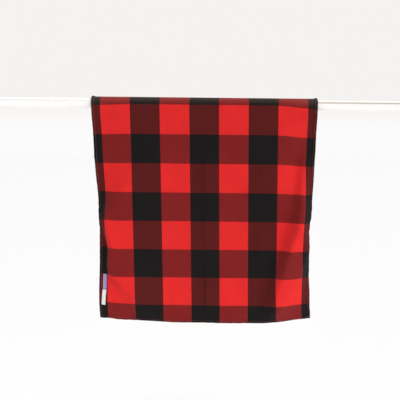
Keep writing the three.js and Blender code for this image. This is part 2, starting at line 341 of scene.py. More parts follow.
def cloth_middle(across_lines, runs):
    """Points on the middle of the cloth, and the run of the thread that lies there."""
    across, run = np.meshgrid(across_lines, runs, indexing="ij")
    pulled = pull(across)
    points = np.zeros(across.shape + (3,))
    middle = int(np.argmin(abs(across_lines)))

    turn = np.clip(run, -QUARTER_TURN, QUARTER_TURN) / MIDDLE_RADIUS
    points[..., 0] = across
    points[..., 1] = -MIDDLE_RADIUS * np.sin(turn)
    points[..., 2] = MIDDLE_RADIUS * np.cos(turn)

    back = runs < -QUARTER_TURN
    u = across[:, back]
    drop = (-run[:, back] - QUARTER_TURN) * (1.0 - pulled[:, back] / BACK_DROP)
    wave = 1.0 + np.sin(2 * math.pi * u / BACK_WAVE_LENGTH + BACK_WAVE_PHASE)
    points[:, back, 1] += BACK_WAVE_DEPTH / 2 * wave * soft(drop / BACK_DROP)
    points[:, back, 2] = -drop

    front = runs >= QUARTER_TURN - 1e-6
    u = across[:, front]
    drop = (run[:, front] - QUARTER_TURN) * (1.0 + pulled[:, front] * PULL_LEFT_AT_HEM / FRONT_DROP)
    drop = np.maximum(drop, 0.0)
    slope_across = (behind(u + SLOPE_STEP, drop) - behind(u - SLOPE_STEP, drop)) / (2 * SLOPE_STEP)
    slope_down = (behind(u, drop + SLOPE_STEP) - behind(u, drop - SLOPE_STEP)) / (2 * SLOPE_STEP)
    tight = TIGHT_LEFT * np.exp(-((HALF_WIDTH + u) / TIGHT_REACH) ** 2)
    tight += TIGHT_RIGHT * np.exp(-((HALF_WIDTH - u) / TIGHT_REACH) ** 2)
    x = covered(u, slope_across, 0, middle) * (1.0 - DRAW_IN * drop / FRONT_DROP) + LEAN * drop
    points[:, front, 0] = x
    points[:, front, 1] = behind(u, drop) - MIDDLE_RADIUS
    points[:, front, 2] = -covered(drop, slope_down, 1, 0) * (1.0 - tight)
    points[..., 0] += BLANKET_CENTRE_X

    hanging = np.clip((run - QUARTER_TURN) / FRONT_DROP, 0.0, 1.0)
    thread = run - pulled * (1.0 - (1.0 - PULL_LEFT_AT_HEM) * hanging)
    return points, thread


def grid_normals(points):
    """Outward normals of a grid of points."""
    across = np.gradient(points, axis=0)
    along = np.gradient(points, axis=1)
    normals = np.cross(along, across)
    return normals / np.linalg.norm(normals, axis=-1, keepdims=True)


def from_edge(across_lines, runs):
    """Distance in from the nearest edge of the flat blanket."""
    side = HALF_WIDTH - abs(across_lines)[:, None]
    end = np.minimum(FRONT_LEAF - runs, BACK_LEAF + runs)[None, :]
    return np.minimum(side, end)


def new_object(name, vertices, faces, material, smooth=True):
    """A mesh object at the origin from points in millimetres."""
    mesh = bpy.data.meshes.new(name)
    mesh.from_pydata([tuple(v) for v in np.asarray(vertices) * MM], [], faces)
    mesh.materials.append(material)
    if smooth:
        mesh.shade_smooth()
    else:
        mesh.shade_flat()
    obj = bpy.data.objects.new(name, mesh)
    bpy.context.scene.collection.objects.link(obj)
    return obj


def closed_sheet(name, outer, inner, uv, material):
    """A closed sheet between two grids of points, with the grid's places as its UV map."""
    columns, rows = outer.shape[:2]
    count = columns * rows
    index = np.arange(count).reshape(columns, rows)
    a, b = index[:-1, :-1].ravel(), index[1:, :-1].ravel()
    c, d = index[1:, 1:].ravel(), index[:-1, 1:].ravel()
    front = np.stack([a, d, c, b], 1)
    back = np.stack([a, b, c, d], 1) + count
    loop = np.concatenate([index[:-1, 0], index[-1, :-1], index[:0:-1, -1], index[0, :0:-1]])
    ahead = np.roll(loop, -1)
    rim = np.stack([loop, ahead, ahead + count, loop + count], 1)
    faces = np.concatenate([front, back, rim]).tolist()
    vertices = np.concatenate([outer.reshape(-1, 3), inner.reshape(-1, 3)])
    obj = new_object(name, vertices, faces, material)
    flat = np.concatenate([uv.reshape(-1, 2), uv.reshape(-1, 2)])
    layer = obj.data.uv_layers.new(name="UVMap")
    corners = np.empty(len(obj.data.loops), int)
    obj.data.loops.foreach_get("vertex_index", corners)
    layer.data.foreach_set("uv", flat[corners].astype(np.float32).ravel())
    return obj


def linear(hex_colour):
    """Linear RGBA from an sRGB hex colour."""
    value = hex_colour.lstrip("#")
    channels = [int(value[k:k + 2], 16) / 255 for k in (0, 2, 4)]
    light = [c / 12.92 if c <= 0.04045 else ((c + 0.055) / 1.055) ** 2.4 for c in channels]
    return (*light, 1.0)


def new_material(name):
    """A material with an empty node tree."""
    material = bpy.data.materials.new(name)
    material.use_nodes = True
    tree = material.node_tree
    tree.nodes.clear()
    return material, tree


def add(tree, kind, settings=None, inputs=None):
    """Adds a node. Settings are its properties. Inputs go by socket name or number, and one
    that is a socket or a node is linked."""
    node = tree.nodes.new(kind)
    for key, value in (settings or {}).items():
        setattr(node, key, value)
    for key, value in (inputs or {}).items():
        if isinstance(value, bpy.types.Node):
            value = value.outputs[0]
        if isinstance(value, bpy.types.NodeSocket):
            tree.links.new(value, node.inputs[key])
        else:
            node.inputs[key].default_value = value
    return node


# Wool yarn: the twill is woven with red and black in both directions. The nap hides part of the
# crossing yarn, so the two kinds of mixed square have a colour of their own.
RED = "#CE2323"
BLACK = "#120F10"
RED_WARP_OVER_BLACK = "#731819"
BLACK_WARP_OVER_RED = "#501312"

# Sizes of the cloth's patterns. A real 2/2 twill of 0.8 mm yarn repeats every 3.2 mm, and real nap
# fibre is thinner than 0.1 mm. Both are too fine to show in the render, so they are drawn coarser.
TWILL_PITCH = 5.2
NAP_FIBRE = 1.1
NAP_BLUR = 2.2         # how far the nap blurs the edge of a check
MOTTLE = 45.0          # slow changes in the dye and in the nap's lie

# The share by which each of them changes the shade, and the ribs' height beside the tufts'
TWILL_SHADE, MIXED_TWILL_SHADE = 0.07, 0.42
TUFT_SHADE = 0.45
MOTTLE_SHADE = 0.22
RIB_HEIGHT = 0.3

# Rubbed fibre on the hem's folded edge: its colour, share and reach
RUBBED = "#8A5A58"
RUBBED_SHARE, RUBBED_REACH = 0.16, 2.5

# The low hem's darker band: how dark it is, and where it ends, in from the edge
LOW_HEM_DARKER = 0.78
LOW_HEM_DARK_FROM, LOW_HEM_DARK_TO = 6.5, 9.5

# Painted light and sheen where the cloth bends over the rod: the sheen's colour and share, how much
# lighter the cloth is painted, and where it ends, along the cloth from the top of the rod
ROD_TOP_SHEEN = "#A58979"
ROD_TOP_SHEEN_SHARE = 0.075
ROD_TOP_PAINTED_LIGHT = 0.34
ROD_TOP_LIGHT_FROM, ROD_TOP_LIGHT_TO = 10.0, 38.0


def wool_twill():
    """Brushed wool twill, woven and then napped: dull, with a soft sheen at grazing angles, fine
    diagonal ribs under a haze of fibre, and checks whose edges are a little blurred."""
    material, tree = new_material("brushed_wool_twill")
    uv = add(tree, "ShaderNodeUVMap", {"uv_map": "UVMap"})
    flat = add(tree, "ShaderNodeVectorMath", {"operation": "SCALE"}, {0: uv, "Scale": BLANKET_LENGTH})
    place = add(tree, "ShaderNodeSeparateXYZ", None, {0: flat})
    across, along = place.outputs[0], place.outputs[1]

    tufts = add(tree, "ShaderNodeTexNoise", {"noise_dimensions": "2D"},
                {"Vector": flat, "Scale": 1 / NAP_FIBRE, "Detail": 3.0, "Roughness": 0.6})
    tuft = add(tree, "ShaderNodeMath", {"operation": "SUBTRACT"}, {0: tufts.outputs[0], 1: 0.5})
    blur = add(tree, "ShaderNodeMath", {"operation": "MULTIPLY"}, {0: tuft, 1: 2 * NAP_BLUR})

    def stripes(coordinate, first, width, nap):
        """1 on the red stripes and 0 on the black ones, with their edges blurred."""
        shifted = add(tree, "ShaderNodeMath", {"operation": "ADD"}, {0: coordinate, 1: nap})
        periods = add(tree, "ShaderNodeMath", {"operation": "MULTIPLY_ADD"},
                      {0: shifted, 1: 0.5 / width, 2: -first * 0.5 / width})
        part = add(tree, "ShaderNodeMath", {"operation": "FRACT"}, {0: periods})
        return add(tree, "ShaderNodeMath", {"operation": "LESS_THAN"}, {0: part, 1: 0.5})

    warp = stripes(across, FIRST_CHECK_ACROSS, CHECK_ACROSS, blur)
    weft = stripes(along, FIRST_CHECK_ALONG + BACK_LEAF, CHECK_ALONG, blur)

    # The diagonal of the twill: above 0 where the warp lies on top
    both = add(tree, "ShaderNodeMath", {"operation": "ADD"}, {0: across, 1: along})
    angle = add(tree, "ShaderNodeMath", {"operation": "MULTIPLY_ADD"},
                {0: both, 1: 2 * math.pi / TWILL_PITCH, 2: blur})
    over = add(tree, "ShaderNodeMath", {"operation": "SINE"}, {0: angle})

    black_warp = add(tree, "ShaderNodeMix", {"data_type": "RGBA"},
                     {0: weft, 6: linear(BLACK), 7: linear(BLACK_WARP_OVER_RED)})
    red_warp = add(tree, "ShaderNodeMix", {"data_type": "RGBA"},
                   {0: weft, 6: linear(RED_WARP_OVER_BLACK), 7: linear(RED)})
    check = add(tree, "ShaderNodeMix", {"data_type": "RGBA"},
                {0: warp, 6: black_warp.outputs[2], 7: red_warp.outputs[2]})

    # Shade of each spot: the twill's stripes in the mixed squares, the ribs and tufts, and the mottle
    mixed = add(tree, "ShaderNodeMath", {"operation": "SUBTRACT"}, {0: warp, 1: weft})
    contrast = add(tree, "ShaderNodeMath", {"operation": "MULTIPLY_ADD"},
                   {0: mixed, 1: MIXED_TWILL_SHADE, 2: TWILL_SHADE})
    striped = add(tree, "ShaderNodeMath", {"operation": "MULTIPLY_ADD"},
                  {0: contrast, 1: over, 2: 1.0})
    fuzzed = add(tree, "ShaderNodeMath", {"operation": "MULTIPLY_ADD"},
                 {0: tuft, 1: TUFT_SHADE, 2: striped})
    slow = add(tree, "ShaderNodeTexNoise", {"noise_dimensions": "2D"},
               {"Vector": flat, "Scale": 1 / MOTTLE, "Detail": 4.0, "Roughness": 0.65})
    slow_part = add(tree, "ShaderNodeMath", {"operation": "SUBTRACT"}, {0: slow.outputs[0], 1: 0.5})
    shade = add(tree, "ShaderNodeMath", {"operation": "MULTIPLY_ADD"},
                {0: slow_part, 1: MOTTLE_SHADE, 2: fuzzed})

    def painted_crease_shade(at, first, last, wide_dark, thin_dark):
        """How much painted shade lies along a storage crease: thinly at the fold itself, and beside
        it more and more towards it."""
        off = add(tree, "ShaderNodeMath", {"operation": "SUBTRACT"},
                  {0: across, 1: HALF_WIDTH + at})
        towards = add(tree, "ShaderNodeMapRange", None,
                      {0: off, 1: -SHADE_LEFT, 2: 0.0, 3: 0.0, 4: wide_dark})
        past = add(tree, "ShaderNodeMapRange", None,
                   {0: off, 1: 0.0, 2: SHADE_RIGHT, 3: 1.0, 4: 0.0})
        wide = add(tree, "ShaderNodeMath", {"operation": "MULTIPLY"}, {0: towards, 1: past})
        away = add(tree, "ShaderNodeMath", {"operation": "ABSOLUTE"}, {0: off})
        thin = add(tree, "ShaderNodeMapRange", {"interpolation_type": "SMOOTHSTEP"},
                   {0: away, 1: FOLD_CORE, 2: FOLD_EDGE, 3: thin_dark, 4: 0.0})
        dark = add(tree, "ShaderNodeMath", {"operation": "ADD"}, {0: wide, 1: thin})
        start = BACK_LEAF + QUARTER_TURN + first
        end = BACK_LEAF + QUARTER_TURN + last
        starts = add(tree, "ShaderNodeMapRange", {"interpolation_type": "SMOOTHSTEP"},
                     {0: along, 1: start, 2: start + CREASE_FADE, 3: 0.0, 4: 1.0})
        stops = add(tree, "ShaderNodeMapRange", {"interpolation_type": "SMOOTHSTEP"},
                    {0: along, 1: end - CREASE_FADE, 2: end, 3: 1.0, 4: 0.0})
        lasting = add(tree, "ShaderNodeMath", {"operation": "MULTIPLY"}, {0: starts, 1: stops})
        return add(tree, "ShaderNodeMath", {"operation": "MULTIPLY"}, {0: dark, 1: lasting})

    # Painted shade along the storage creases, taken off the cloth's tone
    for crease in PAINTED_CREASE_SHADES:
        shade = add(tree, "ShaderNodeMath", {"operation": "SUBTRACT"},
                    {0: shade, 1: painted_crease_shade(*crease)})
    coloured = add(tree, "ShaderNodeVectorMath", {"operation": "SCALE"},
                   {0: check.outputs[2], "Scale": shade})

    # Pale fibre that rubbing raises along the folded edge of the hem
    half_flat = add(tree, "ShaderNodeVectorMath", {"operation": "SUBTRACT"},
                    {0: flat, 1: (HALF_WIDTH, BLANKET_LENGTH / 2, 0.0)})
    off_centre = add(tree, "ShaderNodeVectorMath", {"operation": "ABSOLUTE"}, {0: half_flat})
    inset = add(tree, "ShaderNodeVectorMath", {"operation": "SUBTRACT"},
                {0: (HALF_WIDTH, BLANKET_LENGTH / 2, 0.0), 1: off_centre})
    sides = add(tree, "ShaderNodeSeparateXYZ", None, {0: inset})
    edge = add(tree, "ShaderNodeMath", {"operation": "MINIMUM"},
               {0: sides.outputs[0], 1: sides.outputs[1]})
    rubbed = add(tree, "ShaderNodeMapRange", {"interpolation_type": "SMOOTHSTEP"},
                 {0: edge, 1: 0.0, 2: RUBBED_REACH, 3: RUBBED_SHARE, 4: 0.0})
    rub = add(tree, "ShaderNodeMath", {"operation": "MULTIPLY"}, {0: rubbed, 1: tufts.outputs[0]})
    worn = add(tree, "ShaderNodeMix", {"data_type": "RGBA"},
               {0: rub, 6: coloured, 7: linear(RUBBED)})

    # The low hem is darker to its last few millimetres
    from_hem = add(tree, "ShaderNodeMath", {"operation": "SUBTRACT"}, {0: BLANKET_LENGTH, 1: along})
    low_hem_dark = add(tree, "ShaderNodeMapRange", {"interpolation_type": "SMOOTHSTEP"},
                    {0: from_hem, 1: LOW_HEM_DARK_FROM, 2: LOW_HEM_DARK_TO, 3: LOW_HEM_DARKER, 4: 1.0})
    hem_darkened = add(tree, "ShaderNodeVectorMath", {"operation": "SCALE"},
                  {0: worn.outputs[2], "Scale": low_hem_dark})

    # Painted light and painted sheen where the cloth bends over the top of the rod, which make it
    # paler there
    from_rod = add(tree, "ShaderNodeMath", {"operation": "SUBTRACT"}, {0: along, 1: BACK_LEAF})
    off_rod = add(tree, "ShaderNodeMath", {"operation": "ABSOLUTE"}, {0: from_rod})
    bend = add(tree, "ShaderNodeMapRange", {"interpolation_type": "SMOOTHSTEP"},
               {0: off_rod, 1: ROD_TOP_LIGHT_FROM, 2: ROD_TOP_LIGHT_TO, 3: 1.0, 4: 0.0})
    lighter = add(tree, "ShaderNodeMath", {"operation": "MULTIPLY_ADD"},
                  {0: bend, 1: ROD_TOP_PAINTED_LIGHT, 2: 1.0})
    lit_over_rod = add(tree, "ShaderNodeVectorMath", {"operation": "SCALE"},
                 {0: hem_darkened, "Scale": lighter})
    haze = add(tree, "ShaderNodeMath", {"operation": "MULTIPLY"}, {0: bend, 1: ROD_TOP_SHEEN_SHARE})
    sheen_over_rod = add(tree, "ShaderNodeMix", {"data_type": "RGBA"},
                 {0: haze, 6: lit_over_rod, 7: linear(ROD_TOP_SHEEN)})

    rib = add(tree, "ShaderNodeMath", {"operation": "MULTIPLY"}, {0: over, 1: RIB_HEIGHT})
    height = add(tree, "ShaderNodeMath", {"operation": "ADD"}, {0: rib, 1: tufts.outputs[0]})
    bump = add(tree, "ShaderNodeBump", None, {"Strength": 0.6, "Distance": 0.0009, "Height": height})
    rough = add(tree, "ShaderNodeMapRange", None,
                {0: tufts.outputs[0], 1: 0.2, 2: 0.8, 3: 0.84, 4: 1.0})
    shader = add(tree, "ShaderNodeBsdfPrincipled", None, {
        "Base Color": sheen_over_rod.outputs[2], "Roughness": rough.outputs[0], "IOR": 1.45,
        "Specular IOR Level": 0.1, "Sheen Weight": 0.12, "Sheen Roughness": 0.5,
        "Sheen Tint": linear("#F2E4E0"), "Normal": bump})
    add(tree, "ShaderNodeOutputMaterial", None, {"Surface": shader})
    return material


# Pitch of a ribbon's cross ribs, drawn at twice the real one so that they show, its grain to the
# millimetre, and where the tone changes from one side to the other
RIBBON_RIB = 1.1
RIBBON_GRAIN = 1.3
TONE_FROM, TONE_TO = 3.0, 12.0
GRAIN_SHADE, RIB_SHADE = 0.16, 0.05


def satin_ribbon(name, base, shadow, side_to_side):
    """Woven polyester ribbon: a soft satin gloss on fine cross ribs, which the weft makes. Its
    base colour turns to the shadow colour by this share from one side to the other."""
    material, tree = new_material(name)
    uv = add(tree, "ShaderNodeUVMap", {"uv_map": "UVMap"})
    flat = add(tree, "ShaderNodeVectorMath", {"operation": "SCALE"}, {0: uv, "Scale": BLANKET_LENGTH})
    place = add(tree, "ShaderNodeSeparateXYZ", None, {0: flat})
    ribs = add(tree, "ShaderNodeMath", {"operation": "MULTIPLY"},
               {0: place.outputs[1], 1: 2 * math.pi / RIBBON_RIB})
    rib = add(tree, "ShaderNodeMath", {"operation": "SINE"}, {0: ribs})
    grain = add(tree, "ShaderNodeTexNoise", {"noise_dimensions": "2D"},
                {"Vector": flat, "Scale": RIBBON_GRAIN, "Detail": 3.0})
    tone = add(tree, "ShaderNodeMapRange", {"interpolation_type": "SMOOTHSTEP"},
               {0: place.outputs[0], 1: TONE_FROM, 2: TONE_TO, 3: 0.0, 4: side_to_side})
    shaded = add(tree, "ShaderNodeMath", {"operation": "MULTIPLY_ADD"},
                 {0: grain.outputs[0], 1: GRAIN_SHADE, 2: tone})
    ribbed = add(tree, "ShaderNodeMath", {"operation": "MULTIPLY_ADD"},
                 {0: rib, 1: RIB_SHADE, 2: shaded})
    colour = add(tree, "ShaderNodeMix", {"data_type": "RGBA"},
                 {0: ribbed, 6: linear(base), 7: linear(shadow)})
    bump = add(tree, "ShaderNodeBump", None, {"Strength": 0.4, "Distance": 0.0003, "Height": rib})
    shader = add(tree, "ShaderNodeBsdfPrincipled", None, {
        "Base Color": colour.outputs[2], "Roughness": 0.42, "IOR": 1.5, "Sheen Weight": 0.1,
        "Normal": bump})
    add(tree, "ShaderNodeOutputMaterial", None, {"Surface": shader})
    return material


# The thread's colour in painted shade and in painted light, mixed by a fine noise, and its twist to
# the metre
THREAD_SHADED, THREAD_LIT = "#5A3634", "#7E5552"
THREAD_TWIST = 1400.0


def sewing_thread():
    """Spun polyester sewing thread, dyed dark red and plied: dull, with a fine twist."""
    material, tree = new_material("spun_polyester_thread")
    place = add(tree, "ShaderNodeTexCoord")
    twist = add(tree, "ShaderNodeTexNoise", None,
                {"Vector": place.outputs["Object"], "Scale": THREAD_TWIST, "Detail": 2.0})
    # Painted light and shade: the two tones stand for the thread lit and in the shade of its twist
    colour = add(tree, "ShaderNodeMix", {"data_type": "RGBA"},
                 {0: twist.outputs[0], 6: linear(THREAD_SHADED), 7: linear(THREAD_LIT)})
    shader = add(tree, "ShaderNodeBsdfPrincipled", None, {
        "Base Color": colour.outputs[2], "Roughness": 0.7, "IOR": 1.5, "Sheen Weight": 0.2})
    add(tree, "ShaderNodeOutputMaterial", None, {"Surface": shader})
    return material


# The pole's paint, and the one colour for its dust, its brownish line and its painted shade,
# and its brush lines to the metre: long ones along it, 4 mm apart
PAINT, DUST_AND_SHADE = "#EFEDEC", "#B9AEA3"
BRUSH_LINES = (6.0, 260.0, 260.0)

# A long brownish line along the pole: its place up from the front, its core and edge in radians,
# the metres along the pole between which it grows stronger, and how strong it is before them
POLE_LINE_AT = math.radians(21.0)
POLE_LINE_CORE, POLE_LINE_EDGE = 0.06, 0.24
STRONGER_FROM, STRONGER_TO = 0.35, 1.15
POLE_LINE_LEAST = 0.2

# Shares of the tint above the line, where it grows over this angle; of painted shade on the
# pole's under side, from one angle to the other; and of dust in the grain
TINT_ABOVE, ABOVE_ANGLE = 0.12, 0.12
UNDERSIDE_SHADE, UNDERSIDE_FROM, UNDERSIDE_TO = 0.16, math.radians(-70.0), math.radians(-35.0)
DUST_IN_GRAIN = 0.10


def painted_pole():
    """Turned pine under brushed white satin paint: smooth, softly glossy, with faint grain and
    brush lines along it, and dust in the grain. A long brownish line runs along its front top,
    stronger towards the right end, with a faint tint above it. Its under side carries painted
    shade."""
    material, tree = new_material("white_satin_paint_on_pine")
    place = add(tree, "ShaderNodeTexCoord")
    along = add(tree, "ShaderNodeMapping", None,
                {"Vector": place.outputs["Object"], "Scale": BRUSH_LINES})
    grain = add(tree, "ShaderNodeTexNoise", None,
                {"Vector": along, "Scale": 1.0, "Detail": 5.0, "Roughness": 0.6})
    parts = add(tree, "ShaderNodeSeparateXYZ", None, {0: place.outputs["Object"]})
    front = add(tree, "ShaderNodeMath", {"operation": "MULTIPLY"}, {0: parts.outputs[1], 1: -1.0})
    turn = add(tree, "ShaderNodeMath", {"operation": "ARCTAN2"}, {0: parts.outputs[2], 1: front})
    off_line = add(tree, "ShaderNodeMath", {"operation": "SUBTRACT"}, {0: turn, 1: POLE_LINE_AT})
    distance = add(tree, "ShaderNodeMath", {"operation": "ABSOLUTE"}, {0: off_line})
    pole_line = add(tree, "ShaderNodeMapRange", {"interpolation_type": "SMOOTHSTEP"},
                 {0: distance, 1: POLE_LINE_CORE, 2: POLE_LINE_EDGE, 3: 1.0, 4: 0.0})
    stronger = add(tree, "ShaderNodeMapRange", {"interpolation_type": "SMOOTHSTEP"},
                 {0: parts.outputs[0], 1: STRONGER_FROM, 2: STRONGER_TO, 3: POLE_LINE_LEAST, 4: 1.0})
    above = add(tree, "ShaderNodeMapRange", {"interpolation_type": "SMOOTHSTEP"},
                {0: off_line, 1: 0.0, 2: ABOVE_ANGLE, 3: 0.0, 4: TINT_ABOVE})
    # Painted shade: the pole's under side is darkened with the dust colour
    underside_shade = add(tree, "ShaderNodeMapRange", {"interpolation_type": "SMOOTHSTEP"},
                {0: turn, 1: UNDERSIDE_FROM, 2: UNDERSIDE_TO, 3: UNDERSIDE_SHADE, 4: 0.0})
    line_and_tint = add(tree, "ShaderNodeMath", {"operation": "ADD"}, {0: pole_line, 1: above})
    line_tint_and_shade = add(tree, "ShaderNodeMath", {"operation": "MULTIPLY_ADD"},
                {0: line_and_tint, 1: stronger, 2: underside_shade})
    dust = add(tree, "ShaderNodeMapRange", None,
               {0: grain.outputs[0], 1: 0.35, 2: 0.8, 3: 0.0, 4: DUST_IN_GRAIN})
    mark = add(tree, "ShaderNodeMath", {"operation": "ADD", "use_clamp": True}, {0: line_tint_and_shade, 1: dust})
    colour = add(tree, "ShaderNodeMix", {"data_type": "RGBA"},
                 {0: mark, 6: linear(PAINT), 7: linear(DUST_AND_SHADE)})
    rough = add(tree, "ShaderNodeMapRange", None,
                {0: grain.outputs[0], 1: 0.3, 2: 0.7, 3: 0.34, 4: 0.46})
    bump = add(tree, "ShaderNodeBump", None,
               {"Strength": 0.15, "Distance": 0.0004, "Height": grain.outputs[0]})
    shader = add(tree, "ShaderNodeBsdfPrincipled", None, {
        "Base Color": colour.outputs[2], "Roughness": rough.outputs[0], "IOR": 1.5, "Normal": bump})
    add(tree, "ShaderNodeOutputMaterial", None, {"Surface": shader})
    return material


def pale_floor():
    """Matt pale floor paint, rolled on: even, and almost without gloss."""
    material, tree = new_material("matt_pale_floor")
    shader = add(tree, "ShaderNodeBsdfPrincipled", None, {
        "Base Color": linear("#F6F5F5"), "Roughness": 0.9, "Specular IOR Level": 0.1})
    add(tree, "ShaderNodeOutputMaterial", None, {"Surface": shader})
    return material


# The cloth's grid, which the blanket, the stitches and the labels all share
ACROSS, RUNS = cloth_lines()
MIDDLE, THREAD = cloth_middle(ACROSS, RUNS)
NORMALS = grid_normals(MIDDLE)
PLAIN = MIDDLE + NORMALS * CLOTH_THICKNESS / 2


def blanket_piece():
    """The blanket as a closed sheet with its hems, and the points of its outer face."""
    inset = from_edge(ACROSS, RUNS)
    places, thick = zip(*HEM_THICKNESS)
    thickness = np.interp(inset, places, thick)
    outer = MIDDLE + NORMALS * (thickness - CLOTH_THICKNESS / 2)[..., None]
    inner = MIDDLE - NORMALS * CLOTH_THICKNESS / 2
    width = np.broadcast_to((ACROSS + HALF_WIDTH)[:, None], THREAD.shape)
    uv = np.stack([width, THREAD + BACK_LEAF], -1) / BLANKET_LENGTH
    return closed_sheet("wool_blanket", outer, inner, uv, wool_twill()), outer


def stitches(name, lines, normals, spacing, size, material):
    """Stitches along lines on the cloth, by Geometry Nodes: a small rounded stitch on each place
    of the resampled line, with its length along the line and its back on the cloth."""
    vertices = np.concatenate(lines)
    edges = []
    start = 0
    for line in lines:
        edges += [(start + k, start + k + 1) for k in range(len(line) - 1)]
        start += len(line)
    mesh = bpy.data.meshes.new(name + "_line")
    mesh.from_pydata([tuple(v) for v in vertices * MM], edges, [])
    attribute = mesh.attributes.new("cloth_normal", "FLOAT_VECTOR", "POINT")
    attribute.data.foreach_set("vector", np.concatenate(normals).astype(np.float32).ravel())
    obj = bpy.data.objects.new(name, mesh)
    bpy.context.scene.collection.objects.link(obj)

    tree = bpy.data.node_groups.new("stitch_row", "GeometryNodeTree")
    tree.interface.new_socket("Geometry", in_out="INPUT", socket_type="NodeSocketGeometry")
    gap = tree.interface.new_socket("Stitch spacing", in_out="INPUT", socket_type="NodeSocketFloat")
    form = tree.interface.new_socket("Stitch size", in_out="INPUT", socket_type="NodeSocketVector")
    tree.interface.new_socket("Geometry", in_out="OUTPUT", socket_type="NodeSocketGeometry")
    source = tree.nodes.new("NodeGroupInput")
    row = add(tree, "GeometryNodeMeshToCurve", None, {0: source.outputs[0]})
    even = add(tree, "GeometryNodeResampleCurve", {"mode": "LENGTH"},
               {"Curve": row, "Length": source.outputs[1]})
    up = add(tree, "GeometryNodeInputNamedAttribute", {"data_type": "FLOAT_VECTOR"},
             {0: "cloth_normal"})
    ahead = add(tree, "GeometryNodeInputTangent")
    facing = add(tree, "FunctionNodeAxesToRotation", {"primary_axis": "Z", "secondary_axis": "X"},
                 {0: up, 1: ahead})
    bead = add(tree, "GeometryNodeMeshUVSphere", None, {"Segments": 8, "Rings": 5, "Radius": 0.5})
    placed = add(tree, "GeometryNodeInstanceOnPoints", None,
                 {"Points": even, "Instance": bead, "Rotation": facing, "Scale": source.outputs[2]})
    real = add(tree, "GeometryNodeRealizeInstances", None, {0: placed})
    smooth = add(tree, "GeometryNodeSetShadeSmooth", None, {0: real})
    finished = add(tree, "GeometryNodeSetMaterial", None, {0: smooth, "Material": material})
    target = tree.nodes.new("NodeGroupOutput")
    tree.links.new(finished.outputs[0], target.inputs[0])

    modifier = obj.modifiers.new("stitch_row", "NODES")
    modifier.node_group = tree
    modifier[gap.identifier] = spacing * MM
    modifier[form.identifier] = [length * MM for length in size]
    evaluated = obj.evaluated_get(bpy.context.evaluated_depsgraph_get())
    plain = bpy.data.meshes.new_from_object(evaluated)
    obj.modifiers.remove(modifier)
    obj.data = plain
    return obj


def hem_stitches(outer):
    """One row of stitches along each hem."""
    left = int(np.argmin(abs(ACROSS + HALF_WIDTH - STITCH_LINE)))
    right = int(np.argmin(abs(HALF_WIDTH - ACROSS - STITCH_LINE)))
    back = int(np.argmin(abs(RUNS + BACK_LEAF - STITCH_LINE)))
    front = int(np.argmin(abs(FRONT_LEAF - RUNS - STITCH_LINE)))
    rows = [(left, STITCH_ROW), (right, STITCH_ROW), (STITCH_ROW, back), (STITCH_ROW, front)]
    normals = [NORMALS[row] for row in rows]
    lines = [outer[row] + STITCH_LIFT * normal for row, normal in zip(rows, normals)]
    return stitches("hem_stitches", lines, normals, STITCH_SPACING, STITCH_SIZE, sewing_thread())


def over_cloth(across, run, height):
    """Points the given height over the cloth's outer face, without its hems."""
    def lines(values, place):
        low = np.clip(np.searchsorted(values, place, side="right") - 1, 0, len(values) - 2)
        share = (place - values[low]) / (values[low + 1] - values[low])
        return low, share[..., None]

    i, a = lines(ACROSS, across)
    j, b = lines(RUNS, run)

    def sample(grid):
        near = grid[i, j] * (1 - a) + grid[i + 1, j] * a
        far = grid[i, j + 1] * (1 - a) + grid[i + 1, j + 1] * a
        return near * (1 - b) + far * b

    normal = sample(NORMALS)
    normal /= np.linalg.norm(normal, axis=-1, keepdims=True)
    return sample(PLAIN) + normal * height[..., None], normal


def ribbon_piece(name, ribbon, material):
    """A ribbon label on the cloth. Its ends are turned under, and its long sides are selvages."""
    right = np.linspace(0.0, ribbon["width"], RIBBON_LINES[0])
    down = np.linspace(0.0, ribbon["length"], RIBBON_LINES[1])
    right, down = np.meshgrid(right, down, indexing="ij")
    tilt = math.radians(ribbon["tilt"])
    across = ribbon["inset"] - HALF_WIDTH + right * math.cos(tilt) - down * math.sin(tilt)
    run = QUARTER_TURN + ribbon["drop"] + right * math.sin(tilt) + down * math.cos(tilt)
    lift = ribbon["stand_off"] * soft(down / STAND_OFF_REACH)
    side = np.minimum(right, ribbon["width"] - right)
    end = np.minimum(down, ribbon["length"] - down)
    selvage = SELVAGE_HEIGHT * np.exp(-((side - SELVAGE_AT) / SELVAGE_WIDTH) ** 2)
    turned = TURNED_HEIGHT * (1.0 - soft((end - TURNED_LENGTH) / TURNED_STEP))
    rounding = RIBBON_ROUNDING * (1.0 - soft(np.minimum(side, end) / ROUNDING_REACH))
    base = RIBBON_GAP + lift
    low, _ = over_cloth(across, run, base)
    high, normal = over_cloth(across, run, base + RIBBON_THICKNESS + selvage + turned - rounding)
    uv = np.stack([right, down], -1) / BLANKET_LENGTH
    return closed_sheet(name, high, low, uv, material)


